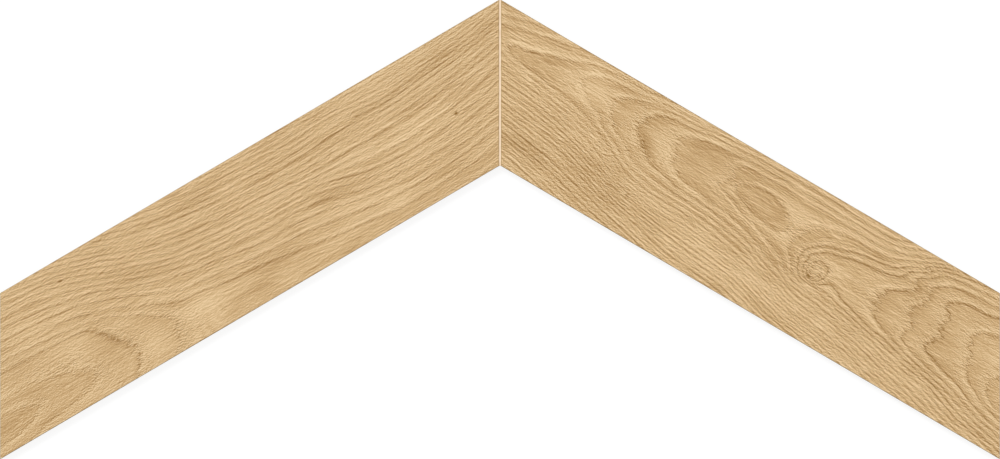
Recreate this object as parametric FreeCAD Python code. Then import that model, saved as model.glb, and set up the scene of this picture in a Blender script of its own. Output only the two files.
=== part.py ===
import FreeCAD, Part
import math
import os

# A chevron wall tile in wood-look porcelain stoneware, lying face up.
# Two planks are mitred where they meet and climb to a point, so the pair makes one V.
# A narrow cement joint fills the gap between the two mitred ends and makes the pair one unit.
# Each plank is one pressed and fired piece. Its long edges are ground square, its ends are sawn,
# and its face has a small ground arris all round. Its back has the lattice of shallow keying
# cells that the press leaves for the adhesive, and the mitre cuts run straight through it.
# The origin is the middle of the footprint, on the plane of the back. X runs across the V,
# Y runs along the joint towards the point, and Z runs out of the face. Sizes are millimetres.

# Plank
PLANK_LENGTH = 600.0  # along a long edge
PLANK_WIDTH = 148.4  # square across the plank
PLANK_THICKNESS = 9.5
RISE_ANGLE = 30.45  # degrees that each plank climbs from the X axis to the point
ARRIS = 0.5  # leg of the ground 45 degree arris round the face

# Joint between the planks
JOINT_WIDTH = 2.0
JOINT_DIP = 0.4  # how far the tooled middle of the joint lies below its two sides

# Keying cells pressed into the back
CELL_MOUTH = 14.0  # side of the square mouth
RIB_WIDTH = 3.0  # flat top of the rib between two cells
CELL_DEPTH = 0.8
CELL_DRAFT = 30.0  # degrees that each wall leans in, so that the press tool lifts out
EDGE_LAND = 6.0  # least plain margin left along each long edge

# Room by which a cutter runs past the surface that it cuts
CUT_ROOM = 1.0

CELL_PITCH = CELL_MOUTH + RIB_WIDTH

rise = math.radians(RISE_ANGLE)
half_joint = JOINT_WIDTH / 2
mitre_length = PLANK_WIDTH / math.cos(rise)  # along the joint, from edge to edge
plank_reach = PLANK_LENGTH * math.cos(rise)  # from the mitre to the outer end, along X
plank_climb = PLANK_LENGTH * math.sin(rise)  # from the outer end to the mitre, along Y
joint_bottom = (plank_climb - mitre_length) / 2  # centres the footprint on Y
joint_top = joint_bottom + mitre_length
joint_shoulder = PLANK_THICKNESS - ARRIS  # the filling meets each plank under its arris


def right_plank_body():
    """The plank that falls away to +X, with its ground arris, before the back is pressed."""
    corners = [
        FreeCAD.Vector(half_joint, joint_bottom, 0),
        FreeCAD.Vector(half_joint + plank_reach, joint_bottom - plank_climb, 0),
        FreeCAD.Vector(half_joint + plank_reach, joint_top - plank_climb, 0),
        FreeCAD.Vector(half_joint, joint_top, 0),
    ]
    outline = Part.Face(Part.makePolygon(corners + corners[:1]))
    body = outline.extrude(FreeCAD.Vector(0, 0, PLANK_THICKNESS))
    face_edges = [edge for edge in body.Edges if edge.BoundBox.ZMin > PLANK_THICKNESS / 2]
    return body.makeChamfer(ARRIS, face_edges)


def keying_cell():
    """A cutter for one cell, widest at its mouth, with its mouth's middle at the origin."""
    lean = math.tan(math.radians(CELL_DRAFT))
    low = CELL_MOUTH / 2 + lean * CUT_ROOM
    high = CELL_MOUTH / 2 - lean * CELL_DEPTH
    cutter = Part.makeWedge(-low, -CUT_ROOM, -low, -high, -high, low, CELL_DEPTH, low, high, high)
    cutter.rotate(FreeCAD.Vector(0, 0, 0), FreeCAD.Vector(1, 0, 0), 90)
    return cutter


def keying_lattice():
    """All the cells that open on the right plank's back, with a rib crossing at its middle."""
    rows = int((PLANK_WIDTH / 2 - EDGE_LAND) / CELL_PITCH)
    blank_length = PLANK_LENGTH + PLANK_WIDTH * math.tan(rise)
    columns = math.ceil(blank_length / 2 / CELL_PITCH)
    cutter = keying_cell()
    cells = []
    for row in range(-rows, rows):
        for column in range(-columns, columns):
            along = (column + 0.5) * CELL_PITCH
            across = (row + 0.5) * CELL_PITCH
            if cell_meets_plank(along, across):
                cells.append(cutter.translated(FreeCAD.Vector(along, across, 0)))
    lattice = Part.makeCompound(cells)
    lattice.rotate(FreeCAD.Vector(0, 0, 0), FreeCAD.Vector(0, 0, 1), -RISE_ANGLE)
    lattice.translate(plank_middle())
    return lattice


def cell_meets_plank(along, across):
    """Whether a cell reaches past the saw cut by at least a rib's width, and isn't a mere shaving."""
    corner_reach = CELL_MOUTH / 2 * (1 + math.tan(rise))
    nearest = abs(along + across * math.tan(rise)) - corner_reach
    return nearest < PLANK_LENGTH / 2 - RIB_WIDTH


def plank_middle():
    """The middle of the right plank's back."""
    across_x = half_joint + plank_reach / 2
    return FreeCAD.Vector(across_x, (joint_bottom + joint_top - plank_climb) / 2, 0)


def right_plank():
    """The finished plank on the right of the V."""
    return right_plank_body().cut(keying_lattice())


def left_plank(right):
    """The plank on the left, cut to the other hand."""
    return right.mirror(FreeCAD.Vector(0, 0, 0), FreeCAD.Vector(1, 0, 0))


def joint_filling():
    """The cement in the joint, tooled to a shallow hollow just under the two arrises."""
    low_left = FreeCAD.Vector(-half_joint, joint_bottom, 0)
    low_right = FreeCAD.Vector(half_joint, joint_bottom, 0)
    top_left = FreeCAD.Vector(-half_joint, joint_bottom, joint_shoulder)
    top_right = FreeCAD.Vector(half_joint, joint_bottom, joint_shoulder)
    dip = FreeCAD.Vector(0, joint_bottom, joint_shoulder - JOINT_DIP)
    sides = [
        Part.makeLine(top_left, low_left),
        Part.makeLine(low_left, low_right),
        Part.makeLine(low_right, top_right),
        Part.Arc(top_right, dip, top_left).toShape(),
    ]
    section = Part.Face(Part.Wire(sides))
    return section.extrude(FreeCAD.Vector(0, mitre_length, 0))


def save(name, shape):
    """Writes one piece to its own STEP file, after making sure that it is one sound solid."""
    solid = shape.Solids[0]
    if len(shape.Solids) != 1 or not solid.isValid():
        raise ValueError(f"{name} should be one valid solid")
    solid.exportStep(os.path.join("parts", name + ".step"))
    print(name, round(solid.Volume), "mm3,", len(solid.Faces), "faces")


os.makedirs("parts", exist_ok=True)
right_tile = right_plank()
save("right_tile", right_tile)
save("left_tile", left_plank(right_tile))
save("joint_filling", joint_filling())
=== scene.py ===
# %% [markdown]
# # A chevron wall tile that looks like oak
# Two planks of porcelain stoneware meet in a V, with a fine cement joint between them. Each plank
# was pressed from powder, printed with an oak pattern, fired, and ground to size.
# The solids come from the CAD model. This notebook dresses them: it lays the oak figure over each
# face, presses its relief into the mesh, and gives every surface its own finish.

# %% Load the frame
import math
from types import SimpleNamespace

import bmesh
import bpy
import numpy as np
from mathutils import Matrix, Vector, noise


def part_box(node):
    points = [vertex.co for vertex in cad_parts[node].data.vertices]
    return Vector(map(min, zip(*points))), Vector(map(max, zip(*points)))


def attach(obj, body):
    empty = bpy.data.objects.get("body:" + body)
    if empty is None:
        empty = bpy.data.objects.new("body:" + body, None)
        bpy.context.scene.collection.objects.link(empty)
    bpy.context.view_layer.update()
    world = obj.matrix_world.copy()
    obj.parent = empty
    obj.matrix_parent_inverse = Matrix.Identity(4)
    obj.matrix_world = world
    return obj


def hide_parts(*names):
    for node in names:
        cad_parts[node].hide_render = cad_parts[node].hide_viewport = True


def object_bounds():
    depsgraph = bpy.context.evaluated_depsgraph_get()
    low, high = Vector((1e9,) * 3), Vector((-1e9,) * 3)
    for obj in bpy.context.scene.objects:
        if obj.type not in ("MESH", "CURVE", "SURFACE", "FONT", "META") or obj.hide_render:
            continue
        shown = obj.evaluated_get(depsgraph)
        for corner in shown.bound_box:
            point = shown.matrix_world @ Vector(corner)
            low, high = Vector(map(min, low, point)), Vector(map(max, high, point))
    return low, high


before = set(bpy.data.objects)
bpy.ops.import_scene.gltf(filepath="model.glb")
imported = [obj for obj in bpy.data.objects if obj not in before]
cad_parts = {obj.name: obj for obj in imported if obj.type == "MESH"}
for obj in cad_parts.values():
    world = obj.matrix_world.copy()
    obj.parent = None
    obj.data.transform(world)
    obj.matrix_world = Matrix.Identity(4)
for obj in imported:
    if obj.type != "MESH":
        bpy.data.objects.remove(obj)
cad_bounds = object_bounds()
print("CAD box in metres:", [tuple(round(c, 4) for c in corner) for corner in cad_bounds])

# %% [markdown]
# ## Millimetres, metres and colours
# The scene counts in metres, and a tile maker in millimetres, so one constant turns one into the
# other. Colours are written as hex values, as a painter's swatch would be, and one function turns
# them to the linear light that the renderer adds up.

# %% Units and a colour function
MM = 0.001


def linear(swatch):
    """The linear colour of an sRGB hex swatch, with full alpha."""
    parts = [int(swatch[i:i + 2], 16) / 255 for i in (1, 3, 5)]
    return [c / 12.92 if c <= 0.04045 else ((c + 0.055) / 1.055) ** 2.4 for c in parts] + [1.0]


print("oak tan in linear light:", [round(c, 3) for c in linear("#D0AF82")])

# %% [markdown]
# ## Where a plank lies
# Each plank is a parallelogram: its long edges climb to the point, and its ends stand upright.
# The figure of the wood is easiest to draw in the plank's own measure, with u along the grain and
# v down from the upper edge, as if the plank lay on a bench. The boxes of the CAD pieces say how
# steeply the planks climb and where they start, so nothing is typed twice.

# %% The plank's own measure
joint_low, joint_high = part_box("joint_filling")
MITRE = joint_high.y - joint_low.y  # the length of a sawn end, which the joint fills


class Plank:
    """One plank's own measure: u along its grain and v down its width, in millimetres.

    hand is 1 where the plank climbs towards +X, and -1 where it falls.
    """

    def __init__(self, node, hand):
        low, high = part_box(node)
        reach = high.x - low.x
        climb = high.y - low.y - MITRE
        length = math.hypot(reach, climb)
        start_y = high.y - climb if hand > 0 else high.y
        self.ends = low.x, high.x
        self.top = high.z
        self.width = MITRE * reach / length / MM
        self.start = np.array([low.x, start_y])
        self.along = np.array([reach, hand * climb]) / length
        self.down = np.array([hand * climb, -reach]) / length
        print(node, "is", round(length / MM, 1), "x", round(self.width, 1), "mm and climbs",
              round(math.degrees(math.atan2(climb, reach)), 2), "degrees")

    def grain(self, places):
        """u and v of an array of places."""
        from_start = (places[:, :2] - self.start) / MM
        return from_start @ self.along, from_start @ self.down

    def inset(self, places):
        """How far each place lies inside the plank's outline, in millimetres."""
        v = self.grain(places)[1]
        from_ends = np.minimum(places[:, 0] - self.ends[0], self.ends[1] - places[:, 0]) / MM
        return np.minimum(from_ends, np.minimum(v, self.width - v))


left_plank = Plank("left_tile", 1)
right_plank = Plank("right_tile", -1)

# %% [markdown]
# ## The camera
# The photograph looks straight down on the tile and its frame just holds it. A long lens from far
# above keeps the upright edges out of sight, much as an orthographic view would, and still lets
# other views move round the part.

# %% Camera straight above
LENS = 200.0  # mm, so that the view is nearly parallel
face_top = cad_bounds[1][2]
tile_span = cad_bounds[1][0] - cad_bounds[0][0]

camera_data = bpy.data.cameras.new("camera")
camera_data.lens = LENS
camera_data.sensor_width = 36.0
camera = bpy.data.objects.new("camera", camera_data)
distance = tile_span * camera_data.lens / camera_data.sensor_width
camera.location = (0.0, 0.0, face_top + distance)
camera_data.clip_end = distance * 3  # room for views from further away
bpy.context.collection.objects.link(camera)
bpy.context.scene.camera = camera
print("camera", round(distance, 2), "m above the face")

# %% [markdown]
# ## Growth rings, drawn one by one
# A sawn oak board shows its growth rings as long lines that close into arches, with a knot where
# a twig grew. Random noise never makes that figure, because the arches belong together. So a few
# rings are drawn one by one: each has its number and the points that it passes through. All other
# rings fall between them. The left board is calm, with wide arches low on its outer end. The
# right board has nested ovals, one small knot and ragged arches towards its outer end.
# In both tables u starts at the board's left end, so at the outer end of the left board and at
# the mitre of the right one.

# %% Ring lines as (u, v) points in millimetres
LEFT_RINGS = [
    (1, [(-72, 112), (-48, 113), (-30, 122), (-46, 132), (-80, 137)]),
    (2, [(-60, 98), (-30, 99), (0, 104), (24, 110), (41, 121), (34, 128), (8, 135), (-25, 140),
         (-55, 147)]),
    (3, [(-42, 74), (0, 75), (35, 77), (55, 80), (67, 89), (76, 101), (86, 111), (90, 119),
         (88, 131), (80, 144)]),
    (4, [(-32, 64), (0, 66), (30, 69), (62, 74), (88, 81), (106, 90), (124, 102), (138, 113),
         (140, 123), (136, 134), (128, 146)]),
    (5, [(-28, 54), (0, 56), (30, 59), (55, 62), (80, 70), (110, 84), (140, 96), (180, 105),
         (240, 113), (300, 121), (360, 130), (430, 136), (500, 133), (545, 126)]),
    (4.5, [(190, 130), (260, 141), (340, 148)]),
    (6, [(-22, 45), (10, 47), (40, 50), (70, 56), (100, 66), (125, 77), (150, 89), (170, 95),
         (200, 98), (240, 103), (290, 106), (330, 111), (380, 119), (430, 123), (480, 121),
         (520, 116)]),
    (7, [(-15, 34), (20, 37), (50, 42), (80, 48), (104, 58), (135, 70), (165, 78), (200, 84),
         (260, 94), (330, 98), (360, 104), (400, 110), (460, 112), (500, 110), (530, 106)]),
    (8, [(-8, 25), (30, 29), (60, 35), (90, 44), (120, 56), (160, 69), (200, 77), (240, 80),
         (300, 84), (340, 88), (370, 97), (410, 103), (460, 104), (500, 102), (534, 97)]),
    (10, [(0, 12), (40, 17), (70, 24), (100, 35), (140, 50), (180, 61), (240, 68), (300, 71),
         (340, 73), (370, 79), (400, 85), (440, 88), (480, 87), (520, 81), (550, 74)]),
    (13, [(50, 3), (80, 11), (120, 24), (160, 37), (210, 46), (260, 51), (300, 54), (340, 57),
         (400, 58), (440, 57), (500, 52), (540, 47), (568, 42)]),
    (16, [(100, 1), (140, 14), (190, 26), (240, 32), (290, 36), (340, 37), (400, 34), (440, 38),
         (480, 36), (540, 30), (575, 24)]),
    (19, [(170, 3), (220, 11), (280, 15), (340, 18), (380, 17), (440, 22), (500, 18), (560, 13),
         (585, 8)]),
    (22, [(230, -4), (300, 0), (360, 3), (420, 6), (480, 5), (540, 1)]),
]
RIGHT_RINGS = [
    (3.5, [(438, 58), (452, 62)]),
    (-1, [(655, 72), (644, 78), (637, 86), (642, 96), (655, 104)]),
    (0, [(632, 37), (620, 42), (606, 46), (597, 57), (606, 69), (612, 78), (616, 92), (632, 101),
         (655, 111)]),
    (1, [(620, 22), (600, 27), (580, 28), (566, 33), (560, 40), (570, 46), (567, 55), (571, 68),
         (562, 86), (576, 93), (602, 101), (630, 112), (655, 120)]),
    (2, [(612, 14), (585, 16), (560, 20), (543, 28), (538, 38), (541, 46), (532, 60), (540, 78),
         (537, 90), (550, 98), (580, 105), (620, 115), (655, 125)]),
    (3, [(600, 8), (560, 11), (537, 17), (523, 28), (522, 43), (505, 54), (498, 63), (499, 78),
         (510, 91), (545, 103), (590, 112), (650, 130)]),
    (4, [(560, 6), (530, 14), (510, 28), (480, 45), (450, 48), (424, 55), (412, 66), (412, 79),
         (422, 87), (432, 84), (442, 81), (462, 88), (500, 99), (560, 111), (640, 133)]),
    (5, [(545, 5), (520, 18), (500, 29), (470, 38), (440, 45), (414, 54), (404, 66), (404, 79),
         (413, 89), (435, 90), (470, 97), (520, 107), (580, 119), (650, 140)]),
    (6, [(522, 10), (500, 20), (480, 27), (440, 30), (412, 38), (396, 48), (390, 60), (394, 77),
         (404, 91), (430, 95), (470, 102), (540, 117), (640, 142)]),
    (6, [(309, 42), (330, 34), (352, 35), (366, 43), (371, 54), (362, 61), (340, 59), (320, 52)]),
    (7, [(532, 2), (510, 9), (480, 20), (440, 20), (400, 20), (350, 20), (316, 21), (300, 28),
         (302, 40), (315, 57), (345, 66), (372, 77), (391, 86), (402, 95), (430, 100), (480, 108),
         (540, 122), (620, 143)]),
    (8, [(512, 2), (480, 13), (430, 14), (380, 13), (330, 14), (290, 16), (252, 22), (237, 34),
         (240, 50), (254, 64), (300, 70), (335, 75), (370, 89), (402, 101), (440, 106), (500, 117),
         (580, 136)]),
    (9, [(480, 7), (400, 6), (320, 7), (260, 11), (216, 17), (196, 28), (192, 40), (208, 56),
         (240, 71), (300, 77), (340, 84), (380, 98), (430, 111), (500, 122)]),
    (10, [(300, 3), (240, 9), (190, 15), (164, 24), (158, 38), (168, 54), (200, 73), (240, 81),
         (300, 84), (350, 92), (400, 108), (440, 116)]),
    (11, [(250, 4), (190, 9), (140, 16), (121, 25), (128, 38), (150, 52), (180, 68), (215, 84),
         (260, 88), (310, 91), (360, 102), (410, 116)]),
    (12, [(180, 5), (125, 9), (100, 17), (74, 27), (50, 35), (38, 42), (60, 46), (100, 52),
         (140, 59), (165, 70), (205, 89), (250, 94), (320, 100)]),
    (13, [(105, 1), (62, 10), (36, 16), (14, 22), (24, 46), (60, 52), (110, 59), (150, 69),
         (200, 92)]),
    (14, [(45, 4), (14, 12), (30, 53), (70, 58), (120, 66), (160, 78)]),
    (17, [(40, 70), (80, 73), (130, 82), (170, 94), (215, 108), (300, 117), (350, 122), (410, 138),
         (450, 145)]),
    (21, [(52, 89), (90, 93), (140, 101), (180, 112), (220, 122), (290, 135), (350, 141)]),
    (26, [(66, 112), (100, 117), (150, 127), (190, 137), (230, 146)]),
    (31, [(79, 135), (110, 141), (140, 148)]),
]
print("rings drawn:", len(LEFT_RINGS), "left,", len(RIGHT_RINGS), "right")

# %% [markdown]
# ## From a few rings to a field
# A thin steel sheet that is pinned at some heights takes the smoothest shape between the pins.
# The same sum, a thin-plate spline, turns the drawn rings into a ring number at every place on the
# board: whole numbers lie on ring lines, and fractions say how far the year had gone. The grain
# runs lengthwise, so lengths are squeezed before the sheet is bent, and the rings stay stretched.
# A twig's own rings are too tight for the sheet, so a small knot is added to it afterwards.

# %% Thin-plate field through the rings
SQUEEZE = 0.45  # lengths along the grain count this much
HUNDRED = 100.0  # scales millimetres to about one, which keeps the sums well behaved
GIVE = 1e-4  # lets the sheet pass a pin by a hair where two drawn rings disagree
TINY = 1e-9  # keeps the logarithm finite at a pin itself


def bending(gap):
    """The thin-plate kernel: how far one pin bends the sheet at this distance from it."""
    return gap ** 2 * np.log(gap + TINY)


class RingField:
    """The ring number at any place on a board, from its drawn rings."""

    def __init__(self, rings):
        points = [point for _, line in rings for point in line]
        numbers = [number for number, line in rings for _ in line]
        self.pins = np.array(points) * (SQUEEZE, 1.0) / HUNDRED
        gaps = np.linalg.norm(self.pins[:, None] - self.pins[None], axis=2)
        plane = np.column_stack([np.ones(len(points)), self.pins])
        system = np.block([[bending(gaps) + GIVE * np.eye(len(points)), plane],
                           [plane.T, np.zeros((3, 3))]])
        self.pull = np.linalg.solve(system, np.array(numbers + [0, 0, 0], float))

    def at(self, u, v):
        """The ring numbers at arrays of u and v."""
        places = np.column_stack([u * SQUEEZE, v]) / HUNDRED
        rings = self.pull[-3] + places @ self.pull[-2:]
        for pin, pull in zip(self.pins, self.pull):
            rings += pull * bending(np.hypot(*(places - pin).T))
        return rings


class PinKnot:
    """The tight rings of a twig, which close round one place.

    radius is in millimetres, and rings is what the knot adds to the ring number in its middle.
    """

    def __init__(self, u, v, radius, rings):
        self.middle = u, v
        self.radius = radius
        self.rings = rings

    def at(self, u, v):
        """What the knot adds to the ring numbers, which is nothing a few radii away."""
        away = np.hypot(u - self.middle[0], v - self.middle[1])
        return self.rings * np.exp(-(away / self.radius) ** 2)


left_field = RingField(LEFT_RINGS)
right_field = RingField(RIGHT_RINGS)
LEFT_KNOTS = []
RIGHT_KNOTS = [PinKnot(424, 79, 9.0, -2.2)]
middle = np.array([250.0]), np.array([75.0])
print("ring number near the middle: left", left_field.at(*middle).round(2),
      "right", right_field.at(*middle).round(2))

# %% [markdown]
# ## Rings are ragged
# A saw cuts through thousands of vessels, and each breaks the ring line a little further along
# the grain than its neighbour does. Where a ring closes in an arch, that makes the arch's nose
# jagged, and where it runs with the grain it stays nearly smooth. So each place looks up its ring
# number a few millimetres off along the grain, by a noise that changes fast across the grain, and
# the more squarely the ring crosses the grain there, the further off.

# %% Ragged ring numbers and their slopes
FLATTEST = 0.01  # rings per mm, the least slope that is divided by here
WIDE_SLOPE = 0.045  # rings per mm: rings wider than 22 mm tear in full, and tighter ones less


def slopes(field, u, v):
    """How many rings the field climbs in a millimetre, along the grain and across it."""
    along = (field.at(u + 1, v) - field.at(u - 1, v)) / 2
    across = (field.at(u, v + 1) - field.at(u, v - 1)) / 2
    return along, across


def crossing(along, across):
    """One where a wide ring crosses the grain squarely, less where it is tight or runs with it."""
    steep = np.maximum(np.hypot(along, across), FLATTEST)
    return np.abs(along) / steep * np.clip(WIDE_SLOPE / steep, 0, 1)


def ragged(field, u, v, seed):
    """u and v moved as the torn rings of a real board are.

    Tears of up to 8 mm and of up to 4 mm run along the grain, and a sway of 1.2 mm crosses it.
    """
    tear = crossing(*slopes(field, u, v))
    moved_u, moved_v = u.copy(), v.copy()
    for i, (x, y) in enumerate(zip(u, v)):
        coarse = noise.noise((x / 80, y / 4.5, seed))
        fine = noise.noise((x / 40, y / 2.2, seed + 9))
        moved_u[i] += (8.0 * coarse + 4.0 * fine) * tear[i]
        moved_v[i] += 1.2 * noise.noise((x / 90, y / 16, seed + 20))
    return moved_u, moved_v


nose = crossing(*slopes(right_field, np.array([195.0]), np.array([30.0])))
print("crossing at the nose of an arch on the right board:", nose.round(2))

# %% [markdown]
# ## The printed face as a fine mesh
# The CAD face is one flat polygon, and a pressed relief needs points to move. The polygon comes
# off, its four edges are cut into short steps, and a grid fill weaves a sheet of small quads
# between them, still joined to the ground arris, so that the piece stays closed.
# The CAD mesh comes as loose triangles, so this is done to a copy that is merged first. Each of
# its faces gets the number of its finish: the print, the ground body or the fired back.

# %% Weave a grid into the face
STEP_ALONG = 1.2  # mm between grid lines, fine enough for the rings' relief
PRINT_SLOT, BODY_SLOT, BACK_SLOT = range(3)


def weave_face(mesh, plank):
    """Swaps the flat face of a closed plank for a grid of quads."""
    flat = [face for face in mesh.faces
            if face.normal.z > 0.99 and face.calc_center_median().z > plank.top - 0.01 * MM]
    bmesh.ops.delete(mesh, geom=flat, context="FACES")
    rim = [edge for edge in mesh.edges if edge.is_boundary]
    long_edges = [edge for edge in rim if abs(edge.verts[0].co.x - edge.verts[1].co.x) > MM]
    sawn_edges = [edge for edge in rim if edge not in long_edges]
    for edges in (long_edges, sawn_edges):
        cuts = round(edges[0].calc_length() / MM / STEP_ALONG)
        bmesh.ops.bisect_edges(mesh, edges=edges, cuts=cuts)
    rim = [edge for edge in mesh.edges if edge.is_boundary]
    long_edges = [edge for edge in rim if abs(edge.verts[0].co.x - edge.verts[1].co.x) > 0.01 * MM]
    bmesh.ops.grid_fill(mesh, edges=long_edges, mat_nr=PRINT_SLOT, use_smooth=True,
                        use_interp_simple=True)


# %% Copy a plank and weave its face
def woven_copy(node, plank):
    """A closed copy of a CAD plank's mesh, with a woven face and a finish for every face."""
    mesh = bmesh.new()
    mesh.from_mesh(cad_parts[node].data)
    bmesh.ops.remove_doubles(mesh, verts=mesh.verts, dist=0.001 * MM)
    for face in mesh.faces:
        face.smooth = False
        face.material_index = BACK_SLOT if face.calc_center_median().z < MM else BODY_SLOT
    weave_face(mesh, plank)
    data = bpy.data.meshes.new(node + "_dressed")
    mesh.to_mesh(data)
    mesh.free()
    print(node, "has", len(data.polygons), "faces once its face is woven")
    return data


# %% [markdown]
# ## Depth, patches and relief
# Three more things vary over a board. The first is how deep a place lies in the wood, in
# millimetres. Lines that are drawn by depth run beside the rings, close together where the rings
# are tight and far apart where they are wide.
# The second is its tone: boards have broad darker and lighter patches that no ring explains, and
# a few pinholes. Each is drawn as a soft oval.
# The third is relief. The press plate carries a shallow one in register with the print, with the
# porous early wood of each ring a little lower than the dense late wood. So a point only ever goes
# down, and by 0.024 mm at most where the face meets the arris, and the tile keeps its size.

# %% Depth, tone and relief of every point
RELIEF = 0.12  # mm from the dense wood down to the porous wood
RELIEF_RIM = 2.5  # mm inside the outline over which the relief comes in
RELIEF_FADE = 3.0  # through one year the dip fades by e to this power
LEAST_SLOPE = 0.02  # rings per mm, which makes a ring 50 mm thick at most


def depths(rings, steep):
    """The ring numbers as millimetres through the wood, by each ring's usual thickness."""
    numbers = np.arange(np.floor(rings.min()), np.ceil(rings.max()) + 1)
    thickness = [np.median(1 / steep[np.abs(rings - number - 0.5) < 1.0])
                 for number in numbers[:-1]]
    return np.interp(rings, numbers, np.concatenate([[0], np.cumsum(thickness)]))


def patch_tone(patches, u, v):
    """The sum of soft ovals, each as (u, v, half length, half width, lean, hundredths of tone)."""
    tones = np.zeros_like(u)
    for patch_u, patch_v, half_length, half_width, lean, tone in patches:
        along = u - patch_u
        across = v - patch_v - lean * along
        tones += tone / 100 * np.exp(-(along / half_length) ** 2 - (across / half_width) ** 2)
    return tones


def dips(plank, places, rings):
    """How far the relief lowers each place, in millimetres."""
    on_face = places[:, 2] > plank.top - 0.001 * MM
    let_in = np.clip(plank.inset(places) / RELIEF_RIM, 0, 1)
    return RELIEF * on_face * let_in * np.exp(-RELIEF_FADE * np.mod(rings, 1.0))


# %% [markdown]
# ## Dress a plank
# Now every point of the woven mesh can be told where it lies in the wood. The print is drawn by a
# shader, which can't work out rings by itself, so the mesh carries them to it as attributes: the
# ring number, how fast that climbs, the depth and the patches' tone. A UV map called grain holds
# u and v.

# %% Dress one plank
def keep(data, name, values):
    """Keeps a number or a vector at every point of a mesh, for the shader to read."""
    kind, part = ("FLOAT", "value") if values.ndim == 1 else ("FLOAT_VECTOR", "vector")
    data.attributes.new(name, kind, "POINT").data.foreach_set(part, values.ravel())


def dressed_plank(node, plank, field, knots, patches, seed):
    """A copy of a CAD plank with a woven face, its relief and the marks for the print."""
    data = woven_copy(node, plank)
    places = np.empty(len(data.vertices) * 3)
    data.vertices.foreach_get("co", places)
    places = places.reshape(-1, 3)
    u, v = plank.grain(places)

    moved_u, moved_v = ragged(field, u, v, seed)
    rings = field.at(moved_u, moved_v)
    along, across = slopes(field, moved_u, moved_v)
    keep(data, "depth", depths(rings, np.maximum(np.hypot(along, across), LEAST_SLOPE)))
    tearing = along * crossing(along, across)
    climb = np.array([along, across])
    for knot in knots:
        rings += knot.at(u, v)
        climb += slopes(knot, u, v)
    steep = np.maximum(np.hypot(*climb), LEAST_SLOPE)
    keep(data, "ring", rings)
    keep(data, "ring_slope", np.column_stack([tearing, across, steep]))
    keep(data, "patch", patch_tone(patches, u, v))

    lowered = dips(plank, places, rings)
    places[:, 2] -= lowered * MM
    data.vertices.foreach_set("co", places.ravel())
    corners = np.empty(len(data.loops), int)
    data.loops.foreach_get("vertex_index", corners)
    grain_map = np.column_stack([u, v])[corners] * MM
    data.uv_layers.new(name="grain").uv.foreach_set("vector", grain_map.ravel())
    data.update()
    piece = bpy.data.objects.new(node + "_dressed", data)
    bpy.context.collection.objects.link(piece)
    print(piece.name, "has rings", round(rings.min(), 1), "to", round(rings.max(), 1),
          "and dips to", round(lowered.max(), 3), "mm")
    return piece


# %% [markdown]
# ## The patches of each board
# These are read off the real boards: a few broad ovals that are lighter, with a positive last
# number, or darker, and the pinholes. The oval's lean says how far it drifts down the board for
# each millimetre along it.

# %% Patches of the two boards
LEFT_PATCHES = [
    (490, 24, 100, 5, -0.1, -6),
    (530, 43, 60, 3, -0.1, -4),
    (215, 15, 45, 12, 0, -5),
    (135, 55, 40, 12, 0.4, -4),
    (-30, 82, 30, 6, 0, -4),
    (5, 50, 25, 14, 0, 3),
    (-35, 118, 40, 16, 0, -4),
    (35, 95, 14, 14, 0, 5),
    (75, 97, 12, 10, 1.0, -8),
    (113, 127, 16, 12, 0, 4),
    (133, 115, 8, 16, 0, -3),
    (180, 122, 40, 20, 0, 6),
    (235, 111, 55, 5, 0.1, -6),
    (270, 117, 30, 5, 0, -4),
    (235, 130, 22, 7, 0, -4),
    (502, 79, 1.6, 1.4, 0, -50),  # a pinhole
    (60, 21, 1.6, 1.3, 0, -30),  # a pinhole
    (380, 110, 60, 8, 0.15, 4),
    (405, 125, 35, 8, 0, 4),
    (358, 90, 40, 7, 0.2, -5),
    (285, 100, 40, 4, 0.1, 4),
    (155, 92, 50, 4, 0.35, 4),
    (445, 70, 60, 14, 0, 3),
    (473, 127, 30, 7, 0, -3),
]
RIGHT_PATCHES = [
    (128, 30, 22, 14, 0, 10),
    (95, 13, 50, 5, -0.1, 4),
    (75, 42, 25, 4, -0.15, -4),
    (45, 32, 14, 7, 0, 5),
    (100, 118, 35, 16, 0, -5),
    (175, 106, 40, 20, 0, -4),
    (205, 56, 12, 10, 1.0, -6),
    (227, 46, 12, 14, 0.3, 6),
    (310, 28, 50, 12, 0, -3),
    (330, 51, 22, 9, 0, -5),
    (380, 85, 18, 8, 0.4, -6),
    (380, 40, 15, 20, 0, 6),
    (362, 48, 10, 12, 0, -5),
    (419.5, 85, 1.9, 1.6, 0, -48),  # the pith of the knot
    (215, 109, 1.8, 1.4, 0, -35),  # a pinhole
    (450, 62, 35, 8, 0, 3),
    (530, 42, 16, 20, 0, -4),
    (570, 50, 14, 14, 0, 3),
    (620, 60, 22, 18, 0, 5),
    (345, 120, 90, 14, 0, 3),
    (580, 115, 30, 6, 0.1, -3),
]
print("patches:", len(LEFT_PATCHES), "left,", len(RIGHT_PATCHES), "right")

# %% Both planks
left_tile = dressed_plank("left_tile", left_plank, left_field, LEFT_KNOTS, LEFT_PATCHES,
                          seed=3.0)
right_tile = dressed_plank("right_tile", right_plank, right_field, RIGHT_KNOTS, RIGHT_PATCHES,
                           seed=41.0)

# %% [markdown]
# ## Shader nodes
# Every finish below is a small graph of nodes. One function adds a node, sets it up and fills its
# inputs, either with plain values or with links from nodes made before.

# %% One function for nodes
def fill(tree, node, inputs):
    """Fills a node's inputs, by name or by place, with plain values or with links."""
    for socket, value in inputs.items() if isinstance(inputs, dict) else enumerate(inputs):
        source = value.outputs[0] if isinstance(value, bpy.types.Node) else value
        if isinstance(source, bpy.types.NodeSocket):
            tree.links.new(source, node.inputs[socket])
        else:
            node.inputs[socket].default_value = source


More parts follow.
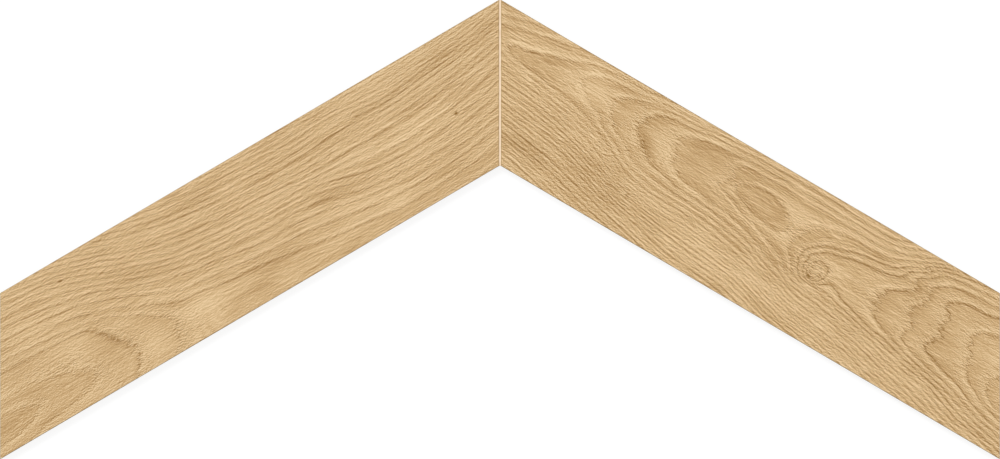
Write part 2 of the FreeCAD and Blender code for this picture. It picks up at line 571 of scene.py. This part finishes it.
def add(tree, kind, inputs=(), stops=(), **settings):
    """Adds a node with its settings and inputs, and gives a colour ramp its stops."""
    node = tree.nodes.new("ShaderNode" + kind)
    for setting, value in settings.items():
        setattr(node, setting, value)
    fill(tree, node, inputs)
    if stops:
        ramp = node.color_ramp.elements
        while len(ramp) < len(stops):
            ramp.new(1.0)
        for element, (place, colour) in zip(ramp, stops):
            element.position = place
            element.color = colour
    return node


# %% [markdown]
# ## What every finish shares
# Glaze, fired clay and cement all bend light by about as much, so one IOR serves them all. What
# differs is the colour, how rough the surface is, and its finest bumps, which are too small to be
# worth a mesh.

# %% Start and end of a finish
CLAY_IOR = 1.5


def new_finish(name):
    """A new material and its node tree."""
    material = bpy.data.materials.new(name)
    material.use_nodes = True
    return material, material.node_tree


def surface(material, colour, roughness, height, strength, depth):
    """Gives a material's shader its colour, its roughness and bumps of a depth in millimetres."""
    tree = material.node_tree
    bump = add(tree, "Bump", {"Height": height, "Strength": strength, "Distance": depth * MM})
    fill(tree, tree.nodes["Principled BSDF"], {"Base Color": colour, "Roughness": roughness,
                                               "Normal": bump, "IOR": CLAY_IOR})
    print(material.name, "is drawn by", len(tree.nodes), "nodes")
    return material


# %% [markdown]
# ## Patterns that layers are made of
# Wood is drawn out along the grain, so most patterns here are noise that is stretched that way.
# Streaks are soft. Ridges are random cells, read twice a little apart across the grain: where the
# two readings differ, one side of a fibre is painted light and the other painted dark, as painted
# light and shade that gives each fibre a lit and a shaded side.
# Both swing round one half, so that layers can be added up and none of them shifts the whole.

# %% Streaks, ridges and sums
RIDGE_WIDTH = 0.8  # of a cell, how far apart across the grain a ridge is read


def grey(level):
    """A grey for a ramp that shapes a number rather than a colour."""
    return (level, level, level, 1.0)


def streaks(tree, grain, along, across, shift=0.0, detail=1.0):
    """Noise drawn out along the grain, with streaks about this long and wide in millimetres."""
    place = add(tree, "Mapping", {"Vector": grain, "Location": (shift, shift * 0.37, 0),
                                  "Scale": (1 / along, 1 / across, 1)})
    return add(tree, "TexNoise", {"Vector": place, "Scale": 1.0, "Detail": detail},
               noise_dimensions="2D")


def lit_and_shaded_ridges(tree, grain, along, across, shift=0.0):
    """Drawn-out cells, each a little raised or sunk at random, with a lit and a shaded side."""
    sides = []
    for beside in (0.0, RIDGE_WIDTH):
        place = add(tree, "Mapping", {"Vector": grain, "Scale": (1 / along, 1 / across, 1),
                                      "Location": (shift, shift * 0.37 + beside, 0)})
        mosaic = add(tree, "TexVoronoi", {"Vector": place, "Scale": 1.0}, voronoi_dimensions="2D")
        sides.append(add(tree, "SeparateColor", (mosaic.outputs["Color"],)))
    # The difference paints light and shade: one side of each cell lighter and the other darker, as
    # a raised fibre lit from the side would look.
    swing = add(tree, "Math", sides, operation="SUBTRACT")
    return add(tree, "Math", (swing, 0.5, 0.5), operation="MULTIPLY_ADD")


def total(tree, base, layers):
    """The base plus each layer's swing from one half, times its strength."""
    start = base - sum(strength for layer, strength in layers) / 2
    for layer, strength in layers:
        start = add(tree, "Math", (layer, strength, start), operation="MULTIPLY_ADD")
    return start


def faded(tree, layer, weight):
    """A layer whose swing from one half is scaled by a weight that changes over the board."""
    swing = add(tree, "Math", (layer, 0.5), operation="SUBTRACT")
    return add(tree, "Math", (swing, weight, 0.5), operation="MULTIPLY_ADD")


# %% [markdown]
# ## The oak print
# Porcelain stoneware is a dense fired clay. Its face is printed with an oak board by ink jets,
# under a thin matt glaze with almost no gloss. A photograph of a board could be laid over the
# face, but it would only be as sharp as it was taken. So the shader draws the board, from the
# marks that the mesh carries.
# Oak is ring-porous. Each year starts with a dark line full of open vessels, which show as short
# dashes along the grain. A pale strip follows, partly the wood's own tone and partly a painted
# sheen beside the dark line, and then the wood darkens slowly up to the next line. Fibres run all
# over it, each with a painted lit side and a painted shaded side, with a few long hairlines and
# pale flecks, and the tone drifts over the board.
# Each of these is a layer that lightens or darkens one tone, and the tone picks its colour from
# a ramp of six browns. A pixel of the camera's picture is about 1 mm, so vessels and fibres,
# which are a few tenths of that or less on real oak, are drawn about 1 mm wide. Their lengths are
# real ones.

# %% Six browns
OAK_BROWNS = [
    (0.414, linear("#875E1B")),
    (0.539, linear("#A57E46")),
    (0.643, linear("#BD9763")),
    (0.709, linear("#CDA976")),
    (0.767, linear("#DAB988")),
    (0.850, linear("#EED0A2")),
]
print("browns:", len(OAK_BROWNS), "from dark vessels to pale flecks")

# %% [markdown]
# ### Torn rings
# The marks lie 1.2 mm apart on the mesh, which is too coarse for the edge of a ring. Vessels end
# at different places, so that edge is a row of small torn steps. The shader makes them: it shifts
# each place along the grain and a little across it, and the slopes turn that shift into a change
# of the ring number and of the depth.
# It also works out how well the rings are aligned with the grain: 1 where they run along it, and
# 0 at the nose of an arch. And it lays out a map that has the depth for its second axis, because
# rows that are drawn on that map follow the rings.

# %% Read the marks and tear the rings
def torn_board(tree, offset):
    """Where a place lies in the grain, among the torn rings and in the rows beside them."""
    grain_map = add(tree, "UVMap", uv_map="grain")
    in_mm = add(tree, "VectorMath", (grain_map, (1000, 1000, 0)), operation="MULTIPLY")
    grain = add(tree, "VectorMath", (in_mm, (offset, offset, 0)), operation="ADD")
    ring = add(tree, "Attribute", attribute_name="ring").outputs["Fac"]
    depth = add(tree, "Attribute", attribute_name="depth").outputs["Fac"]
    slope = add(tree, "Attribute", attribute_name="ring_slope").outputs["Vector"]
    slopes_apart = add(tree, "SeparateXYZ", (slope,))
    steep = slopes_apart.outputs["Z"]

    # Steps of up to 6 mm along the grain, each half a millimetre to a millimetre wide, and a
    # sway of up to 0.3 mm across it.
    torn = streaks(tree, grain, 9, 0.9, 7)
    hairs = streaks(tree, grain, 6, 0.5, 11)
    both = add(tree, "Math", (torn, hairs), operation="ADD")
    torn_by = add(tree, "Math", (both, 6.0, -6.0), operation="MULTIPLY_ADD")
    sway = streaks(tree, grain, 30, 1.6, 51)
    sway_by = add(tree, "Math", (sway, 0.6, -0.3), operation="MULTIPLY_ADD")
    shift = add(tree, "CombineXYZ", (torn_by, sway_by, 0.0))
    change = add(tree, "VectorMath", (slope, shift), operation="DOT_PRODUCT").outputs["Value"]
    change_mm = add(tree, "Math", (change, steep), operation="DIVIDE")
    depth_here = add(tree, "Math", (depth, change_mm), operation="ADD")

    across = add(tree, "Math", (slopes_apart.outputs["Y"],), operation="ABSOLUTE")
    aligned = add(tree, "Math", (across, steep), operation="DIVIDE")
    along_grain = add(tree, "SeparateXYZ", (grain,)).outputs["X"]
    return SimpleNamespace(
        grain=grain,
        steep=steep,
        ring=add(tree, "Math", (ring, change), operation="ADD"),
        aligned=add(tree, "Math", (aligned, 3.0), operation="POWER"),
        rows=add(tree, "CombineXYZ", (along_grain, depth_here, 0.0)),
    )


# %% [markdown]
# ### What each year brings
# The whole part of the ring number says which year a place grew in, and the fraction how far that
# year had gone. Four ramps turn this into what the eye sees. Some years are bolder than others, by
# a random number for each year, and each fades in and out along the board, least so where it is
# wide.

# %% Ramps through a year
# The first three read how far a place lies past the line that starts its year. There 1.0 is
# 15 mm where the rings lie 12 mm apart, 12 mm where they are tighter, at 6 mm, and 19 mm where
# they are wider, at 24 mm.
# How dark the line is.
YEAR_LINE = [
    (0.0, grey(0.85)),
    (0.02, grey(1.0)),
    (0.07, grey(0.9)),
    (0.13, grey(0.3)),
    (0.28, grey(0.0)),
]
# How pale the strip is that runs beside the line: partly the wood's own tone and partly a painted
# sheen beside the dark line.
PALE_LINE_AND_SHEEN = [
    (0.12, grey(0.0)),
    (0.22, grey(1.0)),
    (0.30, grey(0.8)),
    (0.45, grey(0.0)),
]
# How strongly vessels crowd there.
CROWDING = [
    (0.0, grey(1.0)),
    (0.12, grey(0.9)),
    (0.22, grey(0.6)),
    (0.45, grey(0.45)),
    (0.8, grey(0.0)),
]
# How light the wood is through the year, from one line to the next.
SEASONS = [
    (0.0, grey(0.7)),
    (0.2, grey(0.95)),
    (0.5, grey(0.75)),
    (0.8, grey(0.3)),
    (0.95, grey(0.1)),
    (1.0, grey(0.35)),
]


# %% Marks of the year
def year_marks(tree, board, first_year, wide_rings):
    """How strongly each of a year's marks shows at a place: its line, strip, vessels, seasons."""
    season = add(tree, "Math", (board.ring,), operation="FRACT")
    # A power of 0 would make a line as broad as its ring is wide, and a power of 1 would make
    # every line equally broad. Real ones lie between the two.
    twelve_mm = add(tree, "Math", (board.steep, 12.0), operation="MULTIPLY")
    unit = add(tree, "Math", (twelve_mm, 0.65), operation="POWER")
    from_line = add(tree, "Math", (season, unit), operation="DIVIDE")
    from_line = add(tree, "Math", (from_line, 0.8), operation="MULTIPLY")
    line = add(tree, "ValToRGB", (from_line,), stops=YEAR_LINE)
    pale = add(tree, "ValToRGB", (from_line,), stops=PALE_LINE_AND_SHEEN)
    crowding = add(tree, "ValToRGB", (from_line,), stops=CROWDING)

    # How bold this year is, and how far its line has faded here.
    year = add(tree, "Math", (board.ring,), operation="FLOOR")
    calendar = add(tree, "Math", (year, first_year), operation="ADD")
    boldness = add(tree, "TexWhiteNoise", {"W": calendar}, noise_dimensions="1D")
    bold = add(tree, "Math", (boldness, 0.7, 0.35), operation="MULTIPLY_ADD")
    fading = streaks(tree, board.grain, 40, 3, 23)
    width = add(tree, "Math", (0.04 * wide_rings, board.steep), operation="DIVIDE")
    unbroken = add(tree, "Math", (fading, 1.6, width), operation="MULTIPLY_ADD", use_clamp=True)
    bold_here = add(tree, "Math", (bold, unbroken), operation="MULTIPLY")
    return SimpleNamespace(
        line=add(tree, "Math", (line, bold_here), operation="MULTIPLY"),
        # The pale strip is partly a painted sheen, and shows only where the rings run with the
        # grain.
        pale=add(tree, "Math", (pale, board.aligned), operation="MULTIPLY"),
        crowding=crowding,
        crowd=add(tree, "Math", (crowding, bold_here), operation="MULTIPLY"),
        seasons=add(tree, "ValToRGB", (season,), stops=SEASONS),
    )


# %% [markdown]
# ### Vessels, hairlines and flecks
# Three kinds of fine mark stand alone instead of covering the board. Each is the top of a noise:
# below one level there is nothing, above another the mark is full, and it blends between them.
# A vessel that the saw opened is a dark dash along the grain, 3 to 20 mm long and a quarter of a
# millimetre wide. A few long hairlines show in smooth wood, and a few fibres catch the light and
# stay paler than all others.

# %% Marks that stand alone
def lone_marks(tree, board, year):
    """Dark vessels, dark hairlines and pale flecks, each from 0 to 1."""
    long_dash = streaks(tree, board.grain, 14, 0.9, 101)
    short_dash = streaks(tree, board.grain, 4, 0.8, 111)
    dash = total(tree, 0.5, [(long_dash, 0.6), (short_dash, 0.4), (year.crowd, 0.4)])
    hair = streaks(tree, board.grain, 45, 1.0, 171, detail=0.0)
    fleck = streaks(tree, board.grain, 30, 1.2, 211, detail=0.0)
    return SimpleNamespace(
        vessels=add(tree, "MapRange", {"Value": dash, "From Min": 0.60, "From Max": 0.78},
                    interpolation_type="SMOOTHSTEP"),
        hairlines=add(tree, "MapRange", {"Value": hair, "From Min": 0.62, "From Max": 0.74},
                      interpolation_type="SMOOTHSTEP"),
        flecks=add(tree, "MapRange", {"Value": fleck, "From Min": 0.72, "From Max": 0.84},
                   interpolation_type="SMOOTHSTEP"),
    )


# %% [markdown]
# ### Fibres and rows
# Fibres are grain with painted light and shade: each is painted lighter on its lit side and darker
# on its shaded side. Long ones run straight down the board, or beside the rings wherever these run
# with the grain. Short ones and the finest tooth are strong in porous wood and weak in dense wood,
# which is smooth. Rows are soft bands beside the rings, from 1 mm to 11 mm wide, and contours are
# the fine lines that bend round the nose of an arch.

# %% Fibres and rows
def fibres_shade_and_rows(tree, board, year):
    """Every pattern that covers the whole board, each swinging round one half."""
    nose = add(tree, "Math", (1.0, board.aligned), operation="SUBTRACT")
    coarseness = add(tree, "Math", (board.aligned, -0.6, 1.0), operation="MULTIPLY_ADD")
    rough = add(tree, "Math", (year.crowding, coarseness, 0.4), operation="MULTIPLY_ADD")
    return SimpleNamespace(
        thin_rows=faded(tree, streaks(tree, board.rows, 40, 1.0, 61), board.aligned),
        wide_rows=streaks(tree, board.rows, 90, 3.2, 63),
        broad_rows=faded(tree, streaks(tree, board.rows, 140, 11, 67), board.aligned),
        contours=faded(tree, streaks(tree, board.rows, 60, 0.6, 65), nose),
        # These four layers are fibre grain with painted light and shade: a lit side and a shaded
        # side for each fibre.
        row_fibres_and_shade=faded(tree, lit_and_shaded_ridges(tree, board.rows, 28, 0.9, 401), board.aligned),
        long_fibres_and_shade=lit_and_shaded_ridges(tree, board.grain, 30, 0.8, 181),
        short_fibres_and_shade=faded(tree, lit_and_shaded_ridges(tree, board.grain, 4, 1.1, 191), rough),
        tooth_and_shade=faded(tree, lit_and_shaded_ridges(tree, board.grain, 1.2, 0.85, 351), rough),
        drift=streaks(tree, board.grain, 130, 20, 301),
    )


# %% [markdown]
# ### All layers of the print
# The strengths below add up the layers. They were tuned until the print had the same spread of
# tones as the real tile, overall and in its fine detail. The glaze sinks into the vessels and is
# a little rougher there. The bumps are a few hundredths of a millimetre deep, because most of what
# looks like relief here is painted light and shade in the colour, the lit and shaded sides of the
# fibres, as such a tile's print carries it.

# %% Oak print on matt stoneware
def oak_print(name, offset, base, lines, first_year, wide_rings):
    """The printed, glazed face of one board.

    offset, in millimetres, gives each board its own part of every pattern. base is its middle
    tone, set a little low or high to make up for marks that stand alone. lines is how strong the
    lines of its years are, first_year which random years it has, and wide_rings how clearly its
    wide rings show.
    """
    material, tree = new_finish(name)
    board = torn_board(tree, offset)
    year = year_marks(tree, board, first_year, wide_rings)
    marks = lone_marks(tree, board, year)
    wood = fibres_shade_and_rows(tree, board, year)
    # The fibre and tooth layers below are grain with painted light and shade.
    tone = total(tree, base, [
        (year.line, -0.10 * lines),
        # the pale strip beside each line, partly the wood's tone and partly a painted sheen
        (year.pale, 0.05 * lines),
        (marks.vessels, -0.08),
        (marks.hairlines, -0.06),
        (marks.flecks, 0.14 * wide_rings),
        (year.seasons, 0.065 * wide_rings),
        (wood.thin_rows, 0.105),
        (wood.contours, 0.17),
        (wood.wide_rows, 0.04),
        (wood.broad_rows, 0.04),
        (wood.row_fibres_and_shade, 0.19),
        (wood.long_fibres_and_shade, 0.19),
        (wood.short_fibres_and_shade, 0.336),
        (wood.drift, 0.075),
        (wood.tooth_and_shade, 0.728),
    ])
    patch = add(tree, "Attribute", attribute_name="patch").outputs["Fac"]
    tone = add(tree, "Math", (tone, patch), operation="ADD")
    colour = add(tree, "ValToRGB", (tone,), stops=OAK_BROWNS)
    roughness = add(tree, "MapRange", {"Value": marks.vessels, "To Min": 0.52, "To Max": 0.68})
    height = total(tree, 0.5, [
        (marks.vessels, -0.6),
        (wood.thin_rows, 0.5),
        (wood.row_fibres_and_shade, 0.3),
        (wood.short_fibres_and_shade, 0.2),
        (wood.tooth_and_shade, 0.15),
    ])
    return surface(material, colour, roughness, height, strength=1.0, depth=0.06)


left_print = oak_print("matt_oak_print_left_board", offset=0.0, base=0.648, lines=1.15,
                       first_year=32793, wide_rings=0.35)
right_print = oak_print("matt_oak_print_right_board", offset=400.0, base=0.664, lines=1.65,
                        first_year=45720, wide_rings=1.0)

# %% [markdown]
# ## The ground arris, edges and ends
# Under the print the whole tile is one fired body, which shows wherever a diamond wheel has cut
# it: on the narrow arris round the face, on the long edges and on the ends. It is a matt beige
# with fine darker and lighter grains. The wheels run level along a tile's sides, so the scratches
# that they leave are level too. Noise that is stretched level draws them, 60 mm long and 0.7 mm
# high, which is coarser than real ones, so that they show.

# %% Ground stoneware body
def ground_body(name):
    """The bare body where a diamond wheel cut it."""
    material, tree = new_finish(name)
    place = add(tree, "TexCoord").outputs["Object"]
    grit = add(tree, "TexNoise", {"Vector": place, "Scale": 1 / (0.8 * MM), "Detail": 3.0})
    clouds = add(tree, "TexNoise", {"Vector": place, "Scale": 1 / (25 * MM), "Detail": 2.0})
    level = add(tree, "Mapping", {"Vector": place, "Scale": (1 / (60 * MM), 1 / (60 * MM),
                                                             1 / (0.7 * MM))})
    scratches = add(tree, "TexNoise", {"Vector": level, "Scale": 1.0, "Detail": 2.0})
    tone = total(tree, 0.5, [(grit, 0.7), (clouds, 0.5), (scratches, 0.7)])
    colour = add(tree, "ValToRGB", (tone,), stops=[
        (0.2, linear("#866A41")),
        (0.5, linear("#A58654")),
        (0.8, linear("#BA9B6B")),
    ])
    height = total(tree, 0.5, [(grit, 0.5), (scratches, 0.8)])
    return surface(material, colour, 0.75, height, strength=0.8, depth=0.04)


ground_edge = ground_body("ground_stoneware_body")

# %% [markdown]
# ## The pressed back
# The back never meets a wheel. It keeps the grain of the press plate and the pale wash that stops
# tiles from sticking to the kiln's rollers. The wash sits on the ribs and is thin in the cells, so
# the height above the ground says how much of it a place has.

# %% Fired back
def pressed_back(name):
    """The unglazed back, with wash on the ribs."""
    material, tree = new_finish(name)
    place = add(tree, "TexCoord").outputs["Object"]
    above = add(tree, "SeparateXYZ", (place,)).outputs["Z"]
    wear = add(tree, "TexNoise", {"Vector": place, "Scale": 1 / (12 * MM), "Detail": 4.0})
    grit = add(tree, "TexNoise", {"Vector": place, "Scale": 1 / (1.2 * MM), "Detail": 3.0})
    on_rib = add(tree, "MapRange", {"Value": above, "From Min": 0.5 * MM, "From Max": 0.0})
    wash = total(tree, 0.5, [(on_rib, 0.5), (wear, 0.9), (grit, 0.5)])
    colour = add(tree, "ValToRGB", (wash,), stops=[
        (0.25, linear("#9A8157")),
        (0.5, linear("#B5A07A")),
        (0.8, linear("#DDD2BF")),
    ])
    return surface(material, colour, 0.85, grit, strength=0.8, depth=0.08)


fired_back = pressed_back("fired_stoneware_back")

# %% [markdown]
# ## Finishes onto the planks
# Each face of the woven mesh already has the number of its finish, so the three materials only
# have to be hung on the plank in that order.

# %% Finishes onto the planks
for tile, face_print in ((left_tile, left_print), (right_tile, right_print)):
    for material in (face_print, ground_edge, fired_back):
        tile.data.materials.append(material)
    print(tile.name, "wears", [material.name for material in tile.data.materials])

# %% [markdown]
# ## The cement joint
# A cream cement with very fine sand fills the gap and binds the two planks into one unit. It is
# tooled and sponged smooth while it is soft, and it dries dull. The CAD solid already has the
# tooled hollow, so it only needs the finish. Its sand is drawn at half a millimetre.

# %% Joint filling
def cement_grout(name):
    """Fine cream grout, tooled and sponged smooth."""
    material, tree = new_finish(name)
    place = add(tree, "TexCoord").outputs["Object"]
    sand = add(tree, "TexNoise", {"Vector": place, "Scale": 1 / (0.5 * MM), "Detail": 2.0})
    clouds = add(tree, "TexNoise", {"Vector": place, "Scale": 1 / (9 * MM), "Detail": 2.0})
    tone = total(tree, 0.5, [(sand, 0.6), (clouds, 0.8)])
    colour = add(tree, "ValToRGB", (tone,), stops=[
        (0.2, linear("#EBCFAA")),
        (0.5, linear("#FAE3C6")),
        (0.8, linear("#FFEBD2")),
    ])
    return surface(material, colour, 0.9, sand, strength=0.7, depth=0.06)


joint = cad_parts["joint_filling"]
joint.data.materials.clear()
joint.data.materials.append(cement_grout("fine_cream_cement"))

# %% [markdown]
# ## Floor
# The photograph was cut out on plain white. The floor shows as white to the camera by itself, and
# a part of what it shows is still its own lit colour, so it keeps a soft shadow under the tile. It
# lies a hair below the tile's back, because two faces in one plane would flicker.

# %% Floor
FLOOR_REACH = 6.0  # metres from its middle to each side
FLOOR_DROP = 0.05  # mm below the back
FLOOR_GLOW = 0.84  # what the floor shows by itself, which its lit colour brings up to white
FLOOR_GREY = 0.2

floor_mesh = bmesh.new()
bmesh.ops.create_grid(floor_mesh, x_segments=1, y_segments=1, size=FLOOR_REACH)
bmesh.ops.translate(floor_mesh, verts=floor_mesh.verts, vec=(0.0, 0.0, -FLOOR_DROP * MM))
floor_data = bpy.data.meshes.new("floor")
floor_mesh.to_mesh(floor_data)
floor_mesh.free()
floor = bpy.data.objects.new("floor", floor_data)
bpy.context.collection.objects.link(floor)

floor_white, tree = new_finish("white_paper_floor")
tree.nodes.clear()
ray = add(tree, "LightPath")
seen = add(tree, "Math", (ray.outputs["Is Camera Ray"], ray.outputs["Is Glossy Ray"]),
           operation="MAXIMUM")
seen = add(tree, "Math", (seen, ray.outputs["Is Transmission Ray"]), operation="MAXIMUM")
glow = add(tree, "Math", (seen, FLOOR_GLOW), operation="MULTIPLY")
shine = add(tree, "Emission", {"Color": (1, 1, 1, 1), "Strength": glow})
paper = add(tree, "BsdfDiffuse", {"Color": grey(FLOOR_GREY)})
lit_paper = add(tree, "AddShader", (shine, paper))
add(tree, "OutputMaterial", (lit_paper,))
floor_data.materials.append(floor_white)
print("floor reaches", FLOOR_REACH, "m each way")

# %% [markdown]
# ## Light
# The light is an even white surround with one broad soft lamp from the upper left. A white card
# that lies flat gets a share of 0.66 from the surround and the rest from the lamp, so together
# they are just as strong as a colour needs to render as it is written.

# %% World and lamp
SURROUND = 0.66  # the surround's share of the light
LAMP_HEIGHT = math.radians(48)
LAMP_BREADTH = math.radians(25)  # as seen from the tile, for soft shadows

world = bpy.data.worlds.new("studio")
bpy.context.scene.world = world
world.use_nodes = True
tree = world.node_tree
tree.nodes.clear()
ray = add(tree, "LightPath")
strength = add(tree, "MapRange", {"Value": ray.outputs["Is Camera Ray"], "To Min": SURROUND,
                                  "To Max": 1.0})
sky = add(tree, "Background", {"Color": (1, 1, 1, 1), "Strength": strength})
add(tree, "OutputWorld", (sky,))

lamp_data = bpy.data.lights.new("soft_lamp", "SUN")
lamp_data.angle = LAMP_BREADTH
lamp_data.energy = (1 - SURROUND) * math.pi / math.sin(LAMP_HEIGHT)
lamp = bpy.data.objects.new("soft_lamp", lamp_data)
bpy.context.collection.objects.link(lamp)
level = math.cos(LAMP_HEIGHT)
toward = Vector((-level * 0.5, level * 0.87, math.sin(LAMP_HEIGHT)))
lamp.rotation_euler = toward.to_track_quat("Z", "Y").to_euler()
print("lamp energy", round(lamp_data.energy, 2))

# %% [markdown]
# ## Hand the pieces over
# The dressed planks stand for their CAD solids and move with the one body. The joint filling is
# the CAD solid itself with its cement finish.

# %% Ride and replace
for tile, node, slot in ((left_tile, "left_tile", "left_porcelain"),
                         (right_tile, "right_tile", "right_porcelain")):
    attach(tile, "root")
    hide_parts(node)

bpy.context.scene.view_settings.view_transform = "Standard"
